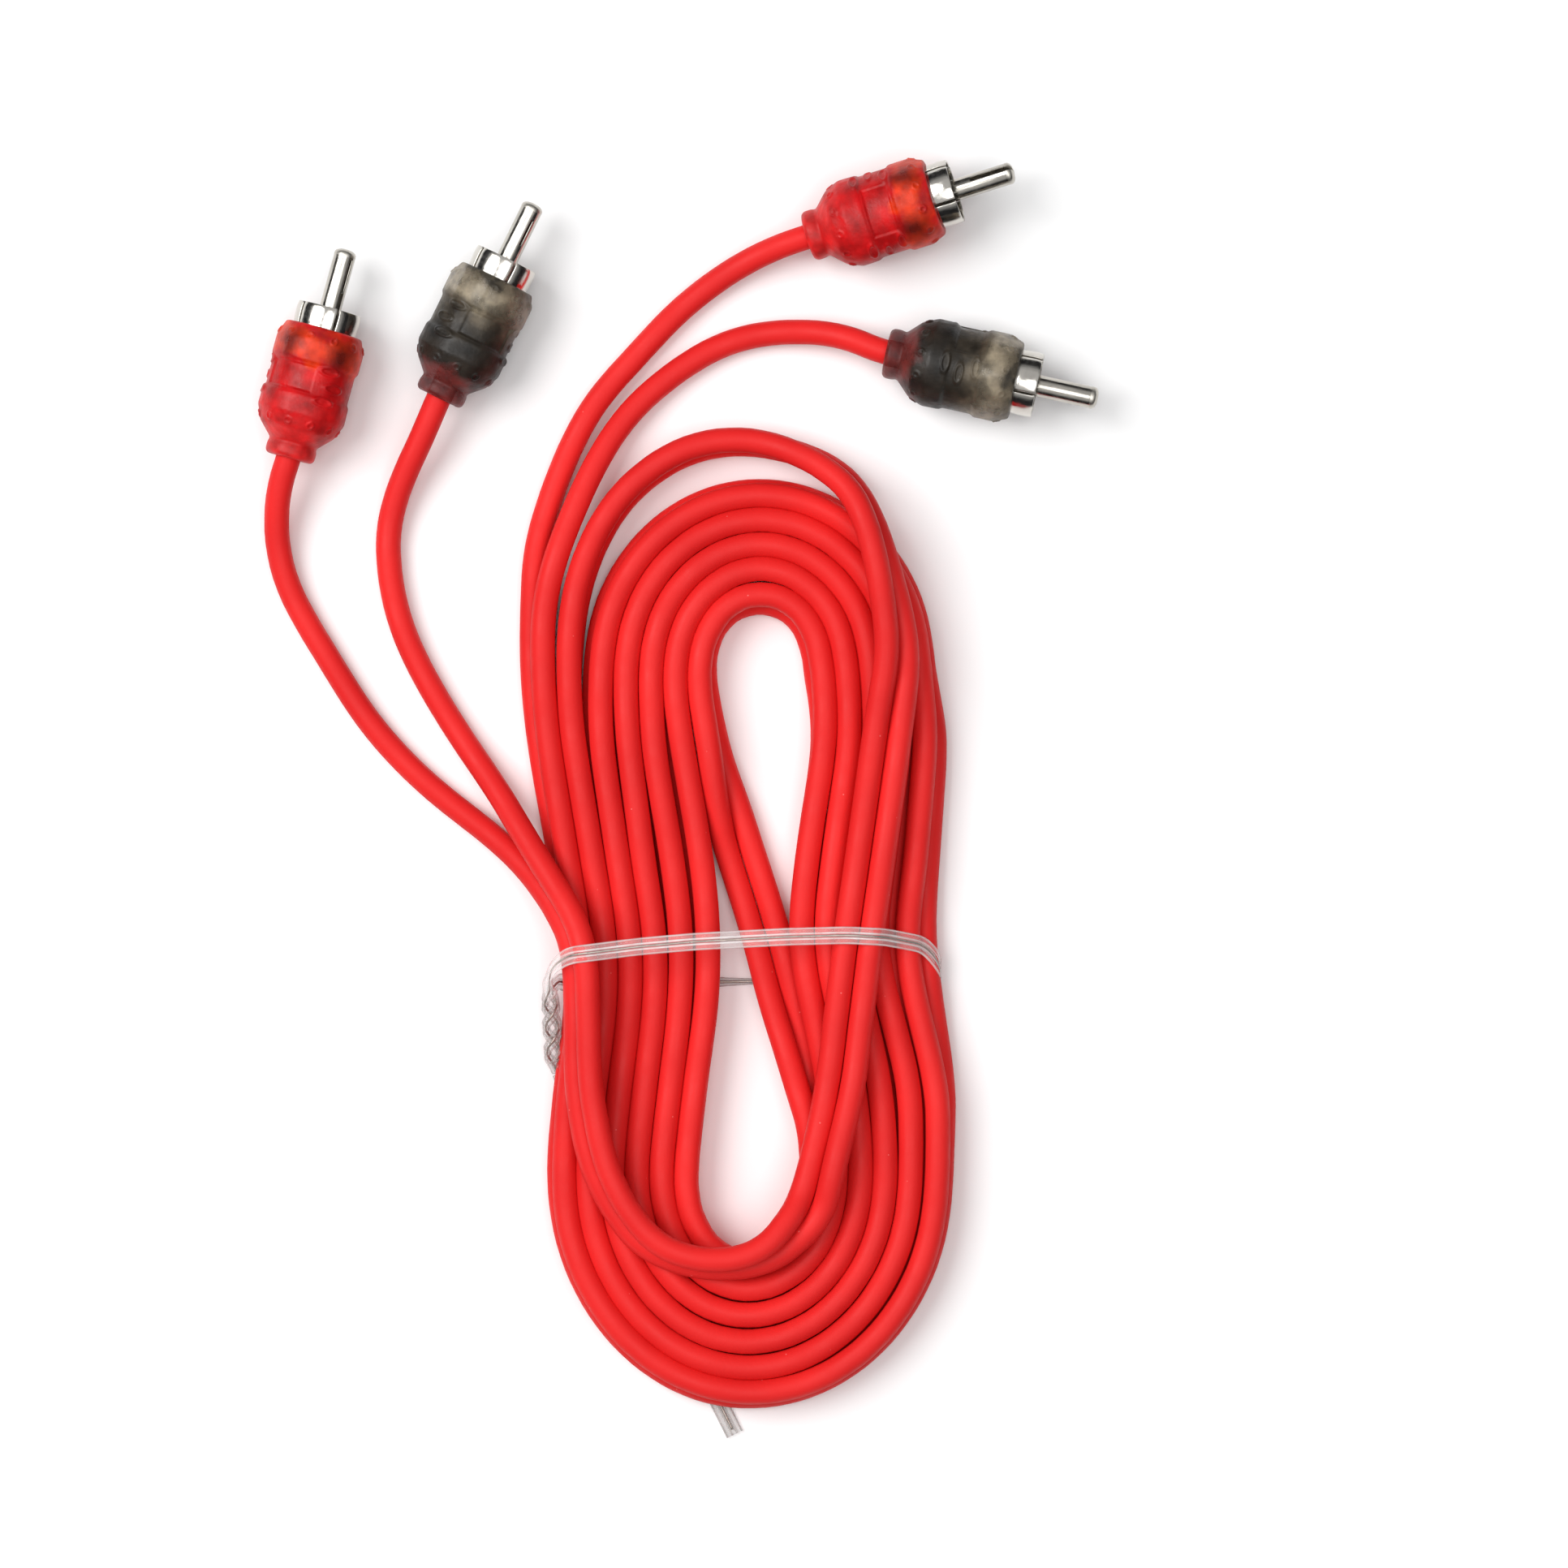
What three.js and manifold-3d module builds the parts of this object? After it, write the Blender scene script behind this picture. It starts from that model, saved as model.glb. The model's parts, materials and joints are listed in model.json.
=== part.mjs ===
// A stereo phono (RCA) interconnect: a bonded pair of thin coaxial cables, split for a short stretch
// at both ends, with a moulded plug on each of its four leads. The pair is wound into a flat hank,
// closed with a clear twist tie, and lies on a table.
// Millimetres, +Z up. The origin is on the table, under the middle of the whole object.
import * as THREE from 'three';
import { mergeVertices } from 'three/addons/utils/BufferGeometryUtils.js';
import Module from 'manifold-3d';

const wasm = await Module();
wasm.setup();

// ---------------------------------------------------------------- driving dimensions
const GAP = 0.3;                  // clearance between neighbouring pieces
const TOUCH = 0.05;                // height of a cable's underside over the table

// one cable of the pair
const CABLE_R = 1.85;
const CORE_INSULATION_R = 0.95;
const CONDUCTOR_R = 0.25;
const PIGTAIL_R = 0.4;

// plug, measured along its axis from the rear end of the boot
const PIN_R = 1.6;
const PIN_BORE_R = 1.05;
const PIN_REAR = 10.8;
const PIN_TIP = 31.7;
const PIN_SLIT = { from: 25.3, width: 0.35 };
const SHELL_R = 4.65;
const SHELL_WALL = 0.4;
const SHELL_REAR = 14.2;
const SHELL_FRONT = 22.7;
const SHELL_SLOTS = { count: 5, from: 18.9, width: 0.45 };
const BOOT_FRONT = 19.5;
const CAVITY_REAR = 5.2;
const CAVITY_R = 4.2;
const MOLD_REAR = 7.2;
const TAG = { rear: 9.4, inner: 3.2, outer: 3.6, width: 2.2 };

// outside of the boot: [distance along the axis, radius]
const BOOT_PROFILE = [
  [0.0, 3.3], [0.5, 3.7], [1.6, 3.7], [2.3, 3.5], [4.4, 5.55], [6.6, 6.5],
  [9.3, 6.45], [9.6, 6.15], [14.0, 6.15], [14.3, 6.5], [17.3, 6.5], [BOOT_FRONT, 5.65],
];

// where each plug lies: rear end of its boot, heading from +X, nose-up tilt
const PLUGS = [
  { name: 'left_red', rear: [-57.0, 50.1], heading: 74.5, tilt: 0.5, color: 0xb3101c },
  { name: 'left_smoke', rear: [-35.1, 58.9], heading: 63.6, tilt: 2, color: 0x3b332e },
  { name: 'right_red', rear: [19.0, 82.6], heading: 16.8, tilt: 8, color: 0xb3101c },
  { name: 'right_smoke', rear: [30.5, 65.6], heading: -12.6, tilt: 3, color: 0x3b332e },
];

// routes of the four leads from just behind their plugs to the hank
const FLOOR_Z = CABLE_R + TOUCH;
const LEAD_ROUTES = {
  left_red: [
    [-58.6, 46.0, 5.5], [-58.9, 41.2, 3.9], [-58.3, 34.0, 2.2], [-56.1, 28.7, FLOOR_Z],
    [-51.9, 21.5, FLOOR_Z], [-47.1, 13.8, FLOOR_Z], [-43.0, 8.5, FLOOR_Z], [-36.4, 1.9, FLOOR_Z],
    [-29.0, -4.0, 2.4], [-22.9, -9.3, 4.0], [-21.2, -11.5, 4.9],
  ],
  left_smoke: [
    [-37.0, 54.3, 5.8], [-40.0, 48.3, 4.0], [-42.4, 41.2, 2.3], [-42.6, 35.2, FLOOR_Z],
    [-41.5, 28.1, FLOOR_Z], [-38.8, 21.0, FLOOR_Z], [-35.2, 14.4, FLOOR_Z], [-31.1, 7.9, 2.4],
    [-26.9, 1.9, 4.2], [-23.6, -3.4, 6.6],
  ],
  right_red: [
    [13.6, 80.8, 4.2], [7.6, 77.7, 2.5], [0.5, 72.4, FLOOR_Z], [-5.5, 66.2, FLOOR_Z],
    [-12.6, 57.9, FLOOR_Z], [-16.4, 50.7, FLOOR_Z], [-19.3, 43.0, FLOOR_Z], [-21.0, 36.4, FLOOR_Z],
    [-21.3, 32.6, FLOOR_Z],
  ],
  right_smoke: [
    [25.5, 67.7, 5.2], [19.5, 68.7, 3.5], [13.6, 68.7, 2.2], [7.6, 67.4, FLOOR_Z],
    [1.7, 64.4, FLOOR_Z], [-6.3, 57.9, 2.4], [-11.4, 50.7, 3.6], [-15.1, 43.0, 4.7],
    [-17.6, 36.6, 5.1], [-18.3, 34.4, 5.1],
  ],
};
const LEAD_SIDES = 8;
const LEAD_STEP = 8;              // length of one straight step of a lead

// the hank: outline of the whole bundle and of the two eyes in it
const HANK_HEIGHT = 11;
const HANK_ROUND = 3.4;
const HANK_OUTLINE = [
  [9.5, 54.5], [17.5, 53.0], [25.5, 48.0], [30.5, 41.0], [34.0, 32.5], [37.5, 21.5], [39.0, 10.0],
  [38.0, -9.0], [37.5, -19.5], [38.5, -30.0], [40.0, -43.5], [40.5, -55.0], [38.5, -67.0],
  [32.5, -78.0], [25.0, -85.0], [15.0, -88.5], [4.5, -88.0], [-5.5, -84.0], [-13.0, -75.5],
  [-17.0, -65.5], [-18.5, -54.0], [-17.5, -42.0], [-16.2, -31.5], [-17.0, -19.5], [-19.5, -6.0],
  [-22.5, 9.0], [-23.5, 22.0], [-22.0, 30.0], [-17.0, 32.5], [-15.0, 37.0], [-9.5, 45.0], [-1.5, 51.5],
];
const UPPER_EYE = [
  [6.0, 24.0], [11.0, 26.5], [16.0, 23.0], [19.0, 14.0], [18.0, 2.0], [16.5, -13.0], [13.0, -7.0],
  [9.0, 4.5], [5.0, 17.5],
];
const LOWER_EYE = [
  [7.5, -24.5], [11.0, -30.0], [14.0, -38.5], [18.0, -53.5], [14.5, -61.0], [7.0, -65.0],
  [3.5, -54.0], [5.5, -36.0],
];

// the twist tie: a flat clear ribbon with a wire in it
const TIE_WIDTH = 2.8;
const TIE_THICKNESS = 0.6;
const TIE_Y = -21.5;
const TIE_LEFT = -17.6;
const TIE_RIGHT = 38.6;
const TIE_BASE = 0.2;             // height of the ribbon's lower run over the table
const TIE_CORNER = 2.4;
const WIRE_THICKNESS = 0.3;
const WIRE_WIDTH = 0.4;
const KNOT = { start: [-19.5, -20.6, 4.6], end: [-19.3, -39.8, 1.7], width: 2.9, thickness: 1.3, turns: 2.25 };
const TAIL = { end: [8.3, -93.6], width: 2.4 };

// ---------------------------------------------------------------- helpers
function material(color, roughness, metalness) {
  return new THREE.MeshStandardMaterial({ color, roughness, metalness });
}

function solidOf(geometry) {
  const bare = geometry.clone();
  bare.deleteAttribute('normal');
  bare.deleteAttribute('uv');
  const merged = mergeVertices(bare, 1e-4);
  const index = merged.index.array;
  const triangles = [];
  for (let i = 0; i < index.length; i += 3) {
    const [a, b, c] = [index[i], index[i + 1], index[i + 2]];
    if (a !== b && b !== c && c !== a) triangles.push(a, b, c);
  }
  return new wasm.Manifold(new wasm.Mesh({
    numProp: 3,
    vertProperties: new Float32Array(merged.attributes.position.array),
    triVerts: new Uint32Array(triangles),
  }));
}

function geometryOf(solid) {
  const mesh = solid.getMesh();
  const geometry = new THREE.BufferGeometry();
  geometry.setAttribute('position', new THREE.BufferAttribute(new Float32Array(mesh.vertProperties), 3));
  geometry.setIndex(new THREE.BufferAttribute(new Uint32Array(mesh.triVerts), 1));
  geometry.computeVertexNormals();
  return geometry;
}

function box(low, high) {
  const size = high.map((value, axis) => value - low[axis]);
  const geometry = new THREE.BoxGeometry(...size);
  geometry.translate(...low.map((value, axis) => value + size[axis] / 2));
  return geometry;
}

// A closed ring or rod round the local Y axis. The profile is [distance along the axis, radius].
function turned(profile, sides) {
  const points = profile.map(([along, radius]) => new THREE.Vector2(radius, along));
  const closed = profile[0][1] > 0 || profile[profile.length - 1][1] > 0;
  if (closed) points.push(points[0].clone());
  return new THREE.LatheGeometry(points, sides);
}

function tube(points, radius, sides, step) {
  const path = new THREE.CatmullRomCurve3(points.map((p) => new THREE.Vector3(...p)), false, 'centripetal');
  const section = new THREE.Shape();
  for (let i = 0; i < sides; i += 1) {
    const angle = (2 * Math.PI * i) / sides;
    const [x, y] = [radius * Math.cos(angle), radius * Math.sin(angle)];
    if (i === 0) section.moveTo(x, y);
    else section.lineTo(x, y);
  }
  const steps = Math.max(1, Math.round(path.getLength() / step));
  return new THREE.ExtrudeGeometry(section, { steps, extrudePath: path, bevelEnabled: false });
}

function smoothOutline(points, pieces) {
  const curve = new THREE.CatmullRomCurve3(
    points.map(([x, y]) => new THREE.Vector3(x, y, 0)), true, 'centripetal');
  return curve.getSpacedPoints(pieces).slice(0, pieces).map((p) => new THREE.Vector2(p.x, p.y));
}

function roundedRectangle(shape, left, right, low, high, corner) {
  const quarter = Math.PI / 2;
  shape.absarc(right - corner, high - corner, corner, 0, quarter);
  shape.absarc(left + corner, high - corner, corner, quarter, 2 * quarter);
  shape.absarc(left + corner, low + corner, corner, 2 * quarter, 3 * quarter);
  shape.absarc(right - corner, low + corner, corner, 3 * quarter, 4 * quarter);
  return shape;
}

const root = new THREE.Group();

function add(parent, name, geometry, look) {
  const mesh = new THREE.Mesh(geometry, look);
  mesh.name = name;
  parent.add(mesh);
}

// ---------------------------------------------------------------- plugs
const NICKEL = material(0xc9c6bf, 0.25, 1);
const COPPER = material(0xb87333, 0.4, 1);
const CLEAR_PVC = material(0xd8dcda, 0.3, 0);
const RED_PVC = material(0xd81622, 0.55, 0);
const WHITE_PE = material(0xe8e6df, 0.5, 0);
const MOLD_PE = material(0x2b2724, 0.6, 0);
const STEEL = material(0x8d8f92, 0.4, 1);

function boot() {
  const bore = [
    [BOOT_FRONT, SHELL_R + GAP], [SHELL_REAR - GAP, SHELL_R + GAP], [SHELL_REAR - GAP, CAVITY_R],
    [CAVITY_REAR, CAVITY_R], [CAVITY_REAR, CABLE_R + GAP], [0, CABLE_R + GAP],
  ];
  return turned([...bore.reverse(), ...BOOT_PROFILE.slice().reverse()].reverse(), 20);
}

function groundShell() {
  const inside = SHELL_R - SHELL_WALL;
  const floor = SHELL_REAR + SHELL_WALL;
  const hole = TAG.inner - 0.2;
  let shell = solidOf(turned([
    [SHELL_REAR, hole], [floor, hole], [floor, inside], [SHELL_FRONT, inside],
    [SHELL_FRONT, SHELL_R], [SHELL_REAR, SHELL_R],
  ].reverse(), 24));
  for (let i = 0; i < SHELL_SLOTS.count; i += 1) {
    const slot = box([-SHELL_SLOTS.width / 2, SHELL_SLOTS.from, inside - 1],
      [SHELL_SLOTS.width / 2, SHELL_FRONT + 1, SHELL_R + 1]);
    slot.rotateY((2 * Math.PI * (i + 0.3)) / SHELL_SLOTS.count);
    shell = shell.subtract(solidOf(slot));
  }
  const tag = box([-TAG.width / 2, TAG.rear, TAG.inner], [TAG.width / 2, SHELL_REAR + 0.2, TAG.outer]);
  return geometryOf(shell.add(solidOf(tag)));
}

function centerPin() {
  const dome = 1.1;
  const pin = solidOf(turned([
    [PIN_REAR, PIN_BORE_R], [PIN_REAR, PIN_R], [PIN_TIP - dome, PIN_R], [PIN_TIP - 0.35, 1.15],
    [PIN_TIP, 0.45], [PIN_TIP, 0.001], [PIN_TIP - 2, 0.001], [PIN_TIP - 2, PIN_BORE_R],
  ], 16));
  const slit = box([-PIN_SLIT.width / 2, PIN_SLIT.from, 0], [PIN_SLIT.width / 2, PIN_TIP + 1, PIN_R + 1]);
  slit.rotateY(0.75 * Math.PI);
  return geometryOf(pin.subtract(solidOf(slit)));
}

function insulator() {
  const inside = PIN_R + GAP;
  const spigot = TAG.inner - 0.2 - GAP;
  const floor = SHELL_REAR + SHELL_WALL + GAP;
  return turned([
    [SHELL_REAR - 0.1, inside], [SHELL_REAR - 0.1, spigot], [floor, spigot],
    [floor, SHELL_R - SHELL_WALL - GAP], [18.4, SHELL_R - SHELL_WALL - GAP], [18.4, inside],
  ], 20);
}

function innerMold() {
  const front = SHELL_REAR - 0.5;
  const outside = CAVITY_R - GAP;
  const ring = solidOf(turned([
    [MOLD_REAR, PIN_R + 0.35], [MOLD_REAR, outside], [front, outside], [front, PIN_R + 0.35],
  ], 20));
  const halfWidth = TAG.width / 2 + GAP;
  const channel = box([-halfWidth, MOLD_REAR - 1, TAG.inner - 0.35], [halfWidth, front + 1, outside + 1]);
  return geometryOf(ring.subtract(solidOf(channel)));
}

function addPlug({ name, rear, heading, tilt, color }) {
  const [turn, lift] = [THREE.MathUtils.degToRad(heading), THREE.MathUtils.degToRad(tilt)];
  const axis = new THREE.Vector3(
    Math.cos(turn) * Math.cos(lift), Math.sin(turn) * Math.cos(lift), Math.sin(lift));
  const up = new THREE.Vector3(
    -Math.cos(turn) * Math.sin(lift), -Math.sin(turn) * Math.sin(lift), Math.cos(lift));
  const side = new THREE.Vector3().crossVectors(axis, up);
  const height = Math.max(...BOOT_PROFILE.map(([s, r]) => r * Math.cos(lift) - s * Math.sin(lift)));
  const plug = new THREE.Group();
  plug.quaternion.setFromRotationMatrix(new THREE.Matrix4().makeBasis(side, axis, up));
  plug.position.set(rear[0], rear[1], height);
  root.add(plug);

  add(plug, `${name}_boot`, boot(), material(color, 0.35, 0));
  add(plug, `${name}_ground_shell`, groundShell(), NICKEL);
  add(plug, `${name}_center_pin`, centerPin(), NICKEL);
  add(plug, `${name}_insulator`, insulator(), WHITE_PE);
  add(plug, `${name}_inner_mold`, innerMold(), MOLD_PE);
  add(plug, `${name}_core_insulation`, turned([
    [5.6, CONDUCTOR_R + GAP], [5.6, CORE_INSULATION_R], [10.5, CORE_INSULATION_R], [10.5, CONDUCTOR_R + GAP],
  ], 12), WHITE_PE);
  add(plug, `${name}_core_conductor`, tube([[0, 5.0, 0], [0, 13.0, 0]], CONDUCTOR_R, 8, 8), COPPER);
  add(plug, `${name}_shield_pigtail`, tube(
    [[0, 5.7, 1.65], [0, 6.1, 2.5], [0, 6.8, 3.3], [0, TAG.rear - GAP, 3.4]], PIGTAIL_R, 8, 1), COPPER);

  const behind = axis.clone().multiplyScalar(-GAP).add(plug.position);
  const route = [behind.toArray(), ...LEAD_ROUTES[name]];
  add(root, `${name}_lead`, tube(route, CABLE_R, LEAD_SIDES, LEAD_STEP), RED_PVC);
}

PLUGS.forEach(addPlug);

// ---------------------------------------------------------------- hank
// Grooves in its underside leave room for the tie's lower run and for the tie's tail.
function hank() {
  const shape = new THREE.Shape(smoothOutline(HANK_OUTLINE, 72).reverse());
  shape.holes.push(new THREE.Path(smoothOutline(UPPER_EYE, 26)));
  shape.holes.push(new THREE.Path(smoothOutline(LOWER_EYE, 24)));
  const geometry = new THREE.ExtrudeGeometry(shape, {
    depth: HANK_HEIGHT - 2 * HANK_ROUND,
    bevelEnabled: true,
    bevelThickness: HANK_ROUND,
    bevelSize: HANK_ROUND,
    bevelOffset: -HANK_ROUND,
    bevelSegments: 3,
  });
  geometry.translate(0, 0, HANK_ROUND);
  const tieGroove = box([TIE_LEFT - 9, TIE_Y - TIE_WIDTH / 2 - GAP, -1],
    [TIE_RIGHT + 9, TIE_Y + TIE_WIDTH / 2 + GAP, TIE_BASE + TIE_THICKNESS + GAP]);
  const tailGroove = tailStrip(TAIL.width + 2 * GAP, -1, TIE_BASE + TIE_THICKNESS + GAP, 6);
  return geometryOf(solidOf(geometry).subtract(solidOf(tieGroove)).subtract(solidOf(tailGroove)));
}

// ---------------------------------------------------------------- twist tie
// A straight strip on the table from the knot's lower end to the tie's free end.
function tailStrip(width, low, high, overrun) {
  const start = new THREE.Vector2(KNOT.end[0], KNOT.end[1]);
  const end = new THREE.Vector2(...TAIL.end);
  const length = start.distanceTo(end);
  const strip = box([-width / 2, 0, low], [width / 2, length + overrun, high]);
  strip.rotateZ(Math.atan2(end.y - start.y, end.x - start.x) - Math.PI / 2);
  strip.translate(start.x, start.y, 0);
  return strip;
}

// A band round the hank, as a flat rounded ring standing across it; spread grows it on all sides.
function tieRing(innerSpread, outerSpread, width) {
  const inner = [TIE_LEFT - innerSpread, TIE_RIGHT + innerSpread,
    TIE_BASE + TIE_THICKNESS - innerSpread, HANK_HEIGHT + GAP + innerSpread];
  const outer = [TIE_LEFT - outerSpread, TIE_RIGHT + outerSpread,
    TIE_BASE + TIE_THICKNESS - outerSpread, HANK_HEIGHT + GAP + outerSpread];
  const ring = roundedRectangle(new THREE.Shape(), ...outer, TIE_CORNER + outerSpread);
  ring.holes.push(roundedRectangle(new THREE.Path(), ...inner, TIE_CORNER + innerSpread));
  const geometry = new THREE.ExtrudeGeometry(ring, { depth: width, bevelEnabled: false, curveSegments: 4 });
  geometry.rotateX(Math.PI / 2);
  geometry.translate(0, TIE_Y + width / 2, 0);
  return geometry;
}

// The two ends of the ribbon twisted round each other, as one bar that turns along its length.
function knot() {
  const [start, end] = [new THREE.Vector3(...KNOT.start), new THREE.Vector3(...KNOT.end)];
  const steps = 20;
  const geometry = new THREE.BoxGeometry(KNOT.width, start.distanceTo(end), KNOT.thickness, 1, steps, 1);
  const place = geometry.attributes.position;
  const point = new THREE.Vector3();
  const along = new THREE.Vector3(0, 1, 0);
  for (let i = 0; i < place.count; i += 1) {
    point.fromBufferAttribute(place, i);
    const share = 0.5 - point.y / start.distanceTo(end);
    point.applyAxisAngle(along, 2 * Math.PI * KNOT.turns * share);
    place.setXYZ(i, point.x, point.y, point.z);
  }
  const direction = start.clone().sub(end).normalize();
  geometry.applyQuaternion(new THREE.Quaternion().setFromUnitVectors(along, direction));
  geometry.translate(...start.add(end).multiplyScalar(0.5).toArray());
  return geometry;
}

function tieRibbon() {
  const band = solidOf(tieRing(0, TIE_THICKNESS, TIE_WIDTH));
  const wireGroove = solidOf(tieRing(-0.2, WIRE_THICKNESS + 0.15, WIRE_WIDTH + 0.4));
  const tail = solidOf(tailStrip(TAIL.width, TIE_BASE, TIE_BASE + TIE_THICKNESS, 0));
  return geometryOf(band.subtract(wireGroove).add(solidOf(knot())).add(tail));
}

add(root, 'cable_hank', hank(), RED_PVC);
add(root, 'twist_tie_ribbon', tieRibbon(), CLEAR_PVC);
add(root, 'twist_tie_wire', tieRing(0.05, 0.05 + WIRE_THICKNESS, WIRE_WIDTH), STEEL);

export default root;
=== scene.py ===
"""A stereo phono cable in a flat hank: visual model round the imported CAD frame. Metres, +Z up."""
import json
import math

import bmesh
import bpy
import numpy as np
from mathutils import Matrix, Vector


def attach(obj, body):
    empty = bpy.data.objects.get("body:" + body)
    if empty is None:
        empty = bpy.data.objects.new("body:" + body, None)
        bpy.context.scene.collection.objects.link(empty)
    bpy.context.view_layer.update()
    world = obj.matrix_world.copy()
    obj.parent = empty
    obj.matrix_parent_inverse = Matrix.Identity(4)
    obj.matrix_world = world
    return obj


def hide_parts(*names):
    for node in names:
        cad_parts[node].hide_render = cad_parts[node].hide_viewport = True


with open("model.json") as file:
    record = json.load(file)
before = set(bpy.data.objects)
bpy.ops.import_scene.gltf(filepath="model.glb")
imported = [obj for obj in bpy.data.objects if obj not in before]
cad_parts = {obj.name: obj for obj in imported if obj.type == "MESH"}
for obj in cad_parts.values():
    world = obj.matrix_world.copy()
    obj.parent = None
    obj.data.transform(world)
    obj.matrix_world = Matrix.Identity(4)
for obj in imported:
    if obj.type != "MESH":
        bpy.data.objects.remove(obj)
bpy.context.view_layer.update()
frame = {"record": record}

MM = 0.001
BODY = "root"
PLUG_NAMES = ("left_red", "left_smoke", "right_red", "right_smoke")

# lengths below are in mm unless they say otherwise; a plug is measured from the rear end of its boot
BOOT_LENGTH = 19.5
SHELL_FRONT = 22.7
SHELL_RADIUS = 4.65
SHELL_WALL = 0.4

# ------------------------------------------------------------------ camera, straight above (metres)
VIEW_CENTRE = (0.0155, 0.0024)
VIEW_WIDTH = 0.230                # width in view at the middle height of the object
VIEW_HEIGHT = 0.85
MIDDLE_HEIGHT = 0.005
SENSOR = 36.0


def make_camera():
    data = bpy.data.cameras.new("camera")
    data.sensor_width = SENSOR
    data.lens = SENSOR * (VIEW_HEIGHT - MIDDLE_HEIGHT) / VIEW_WIDTH
    camera = bpy.data.objects.new("camera", data)
    camera.location = (*VIEW_CENTRE, VIEW_HEIGHT)
    bpy.context.collection.objects.link(camera)
    bpy.context.scene.camera = camera


make_camera()

# ------------------------------------------------------------------ plugs, as the frame places them
RIM_RADIUS = 4.43                 # where the mount's point lies on the shell's rim
RIM_ANGLE = math.radians(57.6)


def plug_matrix(name):
    """The plug's own frame: Y along its axis from the rear end of the boot, Z on its upper side."""
    mount = next(m for m in frame["record"]["mounts"] if m["name"] == name + "_plug_rim")
    axis = Vector(mount["axis"]).normalized()
    side = axis.cross(Vector((0, 0, 1))).normalized()
    up = side.cross(axis)
    rim = Vector((math.sin(RIM_ANGLE), 0, math.cos(RIM_ANGLE))) * (RIM_RADIUS * MM)
    turn = Matrix((side, axis, up)).transposed()
    rear = Vector(mount["pos_m"]) - turn @ (rim + Vector((0, SHELL_FRONT * MM, 0)))
    return Matrix.Translation(rear) @ turn.to_4x4()


PLUG = {name: plug_matrix(name) for name in PLUG_NAMES}

# ------------------------------------------------------------------ routes of the two cables
CABLE_R = 1.85
TOUCH = 0.05                      # height of a cable's underside over the table
FLOOR_Z = CABLE_R + TOUCH

# the leads, from just behind their plugs to the hank
LEADS = {
    "left_red": [
        (-58.6, 46.0, 5.5), (-58.9, 41.2, 3.9), (-58.3, 34.0, 2.2), (-56.1, 28.7, FLOOR_Z),
        (-51.9, 21.5, FLOOR_Z), (-47.1, 13.8, FLOOR_Z), (-43.0, 8.5, FLOOR_Z), (-36.4, 1.9, FLOOR_Z),
        (-29.0, -4.0, 2.4), (-22.9, -9.3, 4.0), (-21.2, -11.5, 4.9)],
    "left_smoke": [
        (-37.0, 54.3, 5.8), (-40.0, 48.3, 4.0), (-42.4, 41.2, 2.3), (-42.6, 35.2, FLOOR_Z),
        (-41.5, 28.1, FLOOR_Z), (-38.8, 21.0, FLOOR_Z), (-35.2, 14.4, FLOOR_Z), (-31.1, 7.9, 2.4),
        (-26.9, 1.9, 4.2), (-23.6, -3.4, 6.6)],
    "right_red": [
        (13.6, 80.8, 4.2), (7.6, 77.7, 2.5), (0.5, 72.4, FLOOR_Z), (-5.5, 66.2, FLOOR_Z),
        (-12.6, 57.9, FLOOR_Z), (-16.4, 50.7, FLOOR_Z), (-19.3, 43.0, FLOOR_Z), (-21.0, 36.4, FLOOR_Z),
        (-21.3, 32.6, FLOOR_Z)],
    "right_smoke": [
        (25.5, 67.7, 5.2), (19.5, 68.7, 3.5), (13.6, 68.7, 2.2), (7.6, 67.4, FLOOR_Z),
        (1.7, 64.4, FLOOR_Z), (-6.3, 57.9, 2.4), (-11.4, 50.7, 3.6), (-15.1, 43.0, 4.7),
        (-17.6, 36.6, 5.1), (-18.3, 34.4, 5.1)],
}

# The hank is described by the middle of the bonded pair: x, y, what it lies on, and its roll. Roll 90
# is on edge with cable B above cable A; roll 0 is flat with B on the left-hand side of travel.
# The first run lies on top of the others: in at the left, round the bottom, up and over the top.
FIRST_RUN = [
    (-19.0, -12.6, 4.6, 58), (-14.9, -20.0, 7.2, 62), (-13.9, -31.0, 7.4, 62), (-13.6, -42.0, 7.4, 57),
    (-11.3, -53.2, 7.4, 55), (-8.3, -59.4, 7.4, 60), (-4.9, -63.6, 7.4, 65), (0.8, -66.8, 7.4, 68),
    (6.4, -67.4, 7.4, 68), (11.8, -66.5, 7.4, 57), (16.3, -63.2, 7.4, 35), (19.5, -58.8, 7.4, 6),
    (21.1, -53.2, 7.4, -25), (23.6, -42.0, 7.4, -10), (25.0, -31.0, 7.4, 0), (26.4, -20.0, 7.4, 0),
    (28.0, -9.0, 7.4, 0), (30.6, 10.0, 7.4, 12), (31.9, 22.1, 7.4, 38), (30.5, 31.1, 7.3, 57),
    (28.1, 40.0, 6.8, 72), (25.5, 45.1, 5.0, 75), (21.3, 48.9, 2.6, 80), (16.0, 51.4, 0.8, 88),
    (10.0, 52.5, 0, 95), (2.9, 51.9, 0, 98), (-3.1, 48.9, 0, 98), (-7.9, 44.8, 0, 98),
    (-11.6, 39.4, 0, 98), (-13.9, 34.0, 0, 98), (-15.3, 28.1, 0, 96), (-15.9, 22.1, 0, 93)]
# the one run that crosses the eye, from the lower right to the upper left
CROSSING = [
    (20.4, -55.2, 0, 84), (20.2, -49.3, 0, 76), (19.2, -44.5, 0, 60), (17.4, -36.2, 0, 35),
    (14.6, -25.5, 0, 12), (12.8, -19.5, 0, 0), (11.0, -13.6, 0, 0), (9.4, -8.8, 0, 0),
    (8.0, -4.0, 0, 22), (4.6, 10.2, 0, 70)]
# the last run's way out, until the pair splits
LAST_RUN = [(-20.7, 20.0, 0, 117), (-20.6, 28.0, 0, 120)]

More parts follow.
